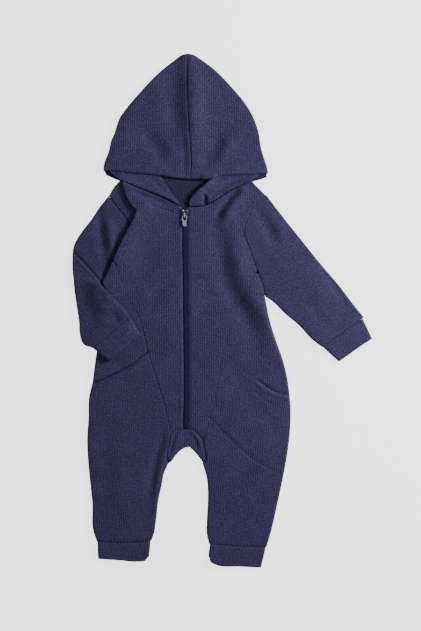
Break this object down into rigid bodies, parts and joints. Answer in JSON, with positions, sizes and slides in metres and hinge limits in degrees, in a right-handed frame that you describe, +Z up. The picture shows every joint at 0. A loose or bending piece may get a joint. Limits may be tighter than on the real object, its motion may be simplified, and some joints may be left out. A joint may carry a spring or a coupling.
{
  "type": "baby hooded romper",
  "caption": "Baby hooded romper in waffle knit with a full front zip, side pockets and doubled cuffs, laid flat on its back with one sleeve bent over the front.",
  "frame": {"origin": "middle of the underside: half way across the width, half way from the hood's peak to the lower ankle band, on the surface that the romper lies on", "axes": "+X to the right as seen from above, +Y towards the hood's peak, +Z up away from the surface"},
  "size_m": [0.431, 0.7416, 0.0175],
  "materials": {
    "waffle_knit": "matt heather knit",
    "zip_tape": "woven tape with a moulded coil",
    "painted_zip_metal": "satin enamel"
  },
  "bodies": {
    "romper": {"back": "waffle_knit", "front_left": "waffle_knit", "front_right": "waffle_knit", "side_left": "waffle_knit", "side_right": "waffle_knit", "leg_left": "waffle_knit", "leg_right": "waffle_knit", "gusset": "waffle_knit", "shoulder_left": "waffle_knit", "sleeve_left": "waffle_knit", "sleeve_right": "waffle_knit", "cuff_left": "waffle_knit", "cuff_right": "waffle_knit", "ankle_band_left": "waffle_knit", "ankle_band_right": "waffle_knit", "hood_left": "waffle_knit", "hood_right": "waffle_knit", "hood_front_left": "waffle_knit", "hood_front_right": "waffle_knit", "zip_tape_left": "zip_tape", "zip_tape_right": "zip_tape", "zip_slider": "painted_zip_metal"},
    "pull": {"zip_pull": "painted_zip_metal"}
  },
  "joints": [
    {"name": "zip_pull_hinge", "type": "hinge", "parent": "romper", "child": "pull", "pos_m": [-0.0542, 0.1376, 0.0097], "axis": [-1, 0, 0], "range_deg": [0, 150]}
  ]
}
